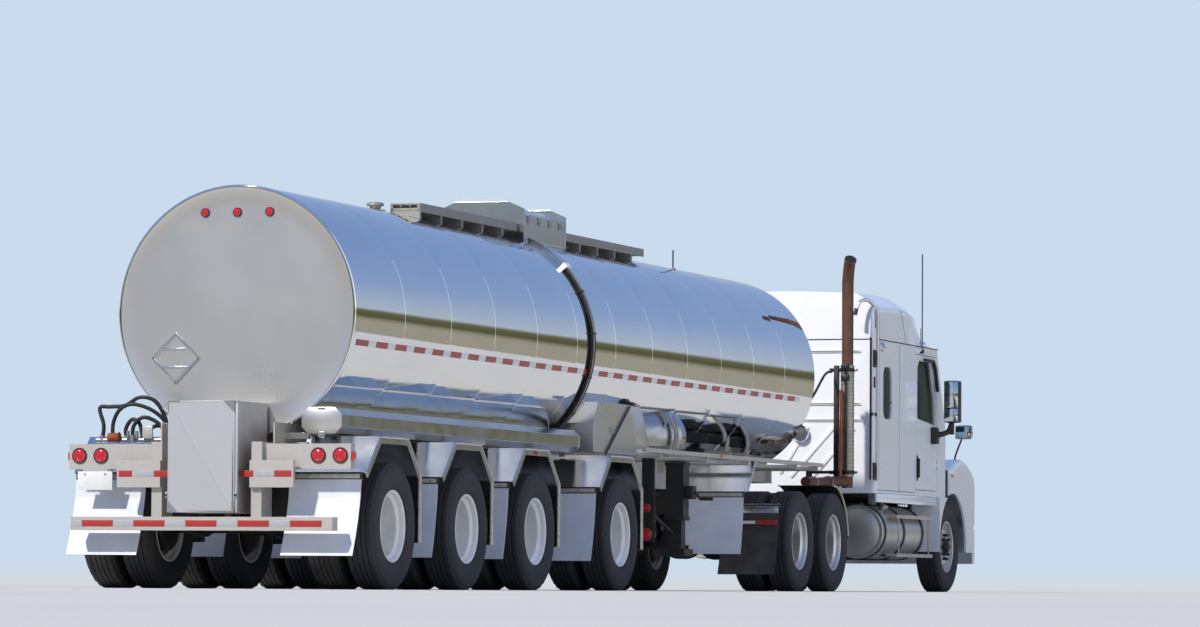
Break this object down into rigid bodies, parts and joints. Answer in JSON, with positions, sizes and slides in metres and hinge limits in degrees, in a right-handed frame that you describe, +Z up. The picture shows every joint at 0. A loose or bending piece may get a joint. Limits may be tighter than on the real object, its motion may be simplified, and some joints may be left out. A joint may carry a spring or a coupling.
{
  "type": "tanker truck",
  "caption": "Sleeper-cab road tractor hinged to a polished round tank semi-trailer with twin wheels under half-hexagon fenders, manway box, rear cabinet and underride bar.",
  "frame": {"origin": "on the floor under the middle of the truck's length, midway between its sides", "axes": "+X forward, +Y to the truck's left, +Z up"},
  "size_m": [21.35, 3.02, 3.83],
  "materials": {
    "polished_skin": "mirror polished",
    "frame_aluminium": "weathered mill finish",
    "tank_aluminium": "polished",
    "rim_aluminium": "polished",
    "rim_white": "satin white",
    "white_paint": "gloss white",
    "black_steel": "satin black",
    "black_plastic": "moulded black",
    "grey_plastic": "grained",
    "flap_rubber": "matt white",
    "hose_rubber": "matt black",
    "tyre_rubber": "dusty black",
    "red_lens": "ribbed lens",
    "clear_glass": "tinted",
    "rusty_steel": "rusty brown",
    "engine_iron": "cast",
    "grille_chrome": "bright"
  },
  "bodies": {
    "trailer": {"tank": "polished_skin", "top_deck": "frame_aluminium", "trailer_frame": "frame_aluminium", "trailer_axles": "black_steel", "trailer_fenders": "frame_aluminium", "trailer_flaps": "flap_rubber", "rear_bumper": "frame_aluminium", "trailer_lamps": "red_lens", "rear_cabinet": "frame_aluminium", "landing_gear": "black_steel", "side_boxes": "frame_aluminium", "trailer_pipes": "hose_rubber"},
    "cabinet_door": {"cabinet_door": "frame_aluminium"},
    "tractor": {"tractor_frame": "black_steel", "fifth_wheel": "black_steel", "tractor_axles": "black_steel", "engine_block": "engine_iron", "cab_shell": "white_paint", "cab_roof": "white_paint", "cab_glass": "clear_glass", "cab_interior": "grey_plastic", "exhaust_stack": "rusty_steel", "fuel_tanks": "tank_aluminium", "drive_fenders": "black_plastic", "front_bumper": "white_paint", "air_lines": "hose_rubber"},
    "hood": {"hood": "white_paint", "grille": "grille_chrome"},
    "trailer_wheels_1_left": {"trailer_tyres_1_left": "tyre_rubber", "trailer_rims_1_left": "rim_white"},
    "trailer_wheels_2_left": {"trailer_tyres_2_left": "tyre_rubber", "trailer_rims_2_left": "rim_white"},
    "trailer_wheels_3_left": {"trailer_tyres_3_left": "tyre_rubber", "trailer_rims_3_left": "rim_white"},
    "trailer_wheels_4_left": {"trailer_tyres_4_left": "tyre_rubber", "trailer_rims_4_left": "rim_white"},
    "drive_wheels_1_left": {"drive_tyres_1_left": "tyre_rubber", "drive_rims_1_left": "rim_aluminium"},
    "drive_wheels_2_left": {"drive_tyres_2_left": "tyre_rubber", "drive_rims_2_left": "rim_aluminium"},
    "knuckle_left": {"knuckle_left": "black_steel"},
    "steer_wheel_left": {"steer_tyre_left": "tyre_rubber", "steer_rim_left": "rim_aluminium"},
    "door_left": {"door_left": "white_paint"},
    "trailer_wheels_1_right": {"trailer_tyres_1_right": "tyre_rubber", "trailer_rims_1_right": "rim_white"},
    "trailer_wheels_2_right": {"trailer_tyres_2_right": "tyre_rubber", "trailer_rims_2_right": "rim_white"},
    "trailer_wheels_3_right": {"trailer_tyres_3_right": "tyre_rubber", "trailer_rims_3_right": "rim_white"},
    "trailer_wheels_4_right": {"trailer_tyres_4_right": "tyre_rubber", "trailer_rims_4_right": "rim_white"},
    "drive_wheels_1_right": {"drive_tyres_1_right": "tyre_rubber", "drive_rims_1_right": "rim_aluminium"},
    "drive_wheels_2_right": {"drive_tyres_2_right": "tyre_rubber", "drive_rims_2_right": "rim_aluminium"},
    "knuckle_right": {"knuckle_right": "black_steel"},
    "steer_wheel_right": {"steer_tyre_right": "tyre_rubber", "steer_rim_right": "rim_aluminium"},
    "door_right": {"door_right": "white_paint"}
  },
  "joints": [
    {"name": "fifth_wheel_yaw", "type": "hinge", "parent": "trailer", "child": "tractor", "pos_m": [3.305, 0, 1.15], "axis": [0, 0, 1], "range_deg": [-90, 90], "deforming": ["air_lines"]},
    {"name": "hood_tilt", "type": "hinge", "parent": "tractor", "child": "hood", "pos_m": [10.525, 0, 0.8], "axis": [0, 1, 0], "range_deg": [0, 80]},
    {"name": "cabinet_door_swing", "type": "hinge", "parent": "trailer", "child": "cabinet_door", "pos_m": [-10.664, -0.306, 1.0675], "axis": [0, 0, 1], "range_deg": [0, 110]},
    {"name": "trailer_wheels_1_left_spin", "type": "hinge", "parent": "trailer", "child": "trailer_wheels_1_left", "pos_m": [-9.625, 0.9855, 0.52], "axis": [0, 1, 0], "continuous": true},
    {"name": "trailer_wheels_2_left_spin", "type": "hinge", "parent": "trailer", "child": "trailer_wheels_2_left", "pos_m": [-7.795, 0.9855, 0.52], "axis": [0, 1, 0], "continuous": true},
    {"name": "trailer_wheels_3_left_spin", "type": "hinge", "parent": "trailer", "child": "trailer_wheels_3_left", "pos_m": [-5.96, 0.9855, 0.52], "axis": [0, 1, 0], "continuous": true},
    {"name": "trailer_wheels_4_left_spin", "type": "hinge", "parent": "trailer", "child": "trailer_wheels_4_left", "pos_m": [-3.485, 0.9855, 0.52], "axis": [0, 1, 0], "continuous": true},
    {"name": "drive_wheels_1_left_spin", "type": "hinge", "parent": "tractor", "child": "drive_wheels_1_left", "pos_m": [2.645, 0.9855, 0.52], "axis": [0, 1, 0], "continuous": true},
    {"name": "drive_wheels_2_left_spin", "type": "hinge", "parent": "tractor", "child": "drive_wheels_2_left", "pos_m": [3.965, 0.9855, 0.52], "axis": [0, 1, 0], "continuous": true},
    {"name": "steer_left", "type": "hinge", "parent": "tractor", "child": "knuckle_left", "pos_m": [9.335, 0.875, 0.52], "axis": [0, 0, 1], "range_deg": [-40, 40]},
    {"name": "steer_wheel_left_spin", "type": "hinge", "parent": "knuckle_left", "child": "steer_wheel_left", "pos_m": [9.335, 1.04, 0.52], "axis": [0, 1, 0], "continuous": true},
    {"name": "door_left_swing", "type": "hinge", "parent": "tractor", "child": "door_left", "pos_m": [8.675, 1.214, 1.9], "axis": [0, 0, 1], "range_deg": [-70, 0]},
    {"name": "trailer_wheels_1_right_spin", "type": "hinge", "parent": "trailer", "child": "trailer_wheels_1_right", "pos_m": [-9.625, -0.9855, 0.52], "axis": [0, 1, 0], "continuous": true},
    {"name": "trailer_wheels_2_right_spin", "type": "hinge", "parent": "trailer", "child": "trailer_wheels_2_right", "pos_m": [-7.795, -0.9855, 0.52], "axis": [0, 1, 0], "continuous": true},
    {"name": "trailer_wheels_3_right_spin", "type": "hinge", "parent": "trailer", "child": "trailer_wheels_3_right", "pos_m": [-5.96, -0.9855, 0.52], "axis": [0, 1, 0], "continuous": true},
    {"name": "trailer_wheels_4_right_spin", "type": "hinge", "parent": "trailer", "child": "trailer_wheels_4_right", "pos_m": [-3.485, -0.9855, 0.52], "axis": [0, 1, 0], "continuous": true},
    {"name": "drive_wheels_1_right_spin", "type": "hinge", "parent": "tractor", "child": "drive_wheels_1_right", "pos_m": [2.645, -0.9855, 0.52], "axis": [0, 1, 0], "continuous": true},
    {"name": "drive_wheels_2_right_spin", "type": "hinge", "parent": "tractor", "child": "drive_wheels_2_right", "pos_m": [3.965, -0.9855, 0.52], "axis": [0, 1, 0], "continuous": true},
    {"name": "steer_right", "type": "hinge", "parent": "tractor", "child": "knuckle_right", "pos_m": [9.335, -0.875, 0.52], "axis": [0, 0, 1], "range_deg": [-40, 40]},
    {"name": "steer_wheel_right_spin", "type": "hinge", "parent": "knuckle_right", "child": "steer_wheel_right", "pos_m": [9.335, -1.04, 0.52], "axis": [0, 1, 0], "continuous": true},
    {"name": "door_right_swing", "type": "hinge", "parent": "tractor", "child": "door_right", "pos_m": [8.675, -1.214, 1.9], "axis": [0, 0, 1], "range_deg": [0, 70]}
  ],
  "couplings": [
    {"joint": "steer_right", "follows": "steer_left", "ratio": 1}
  ]
}
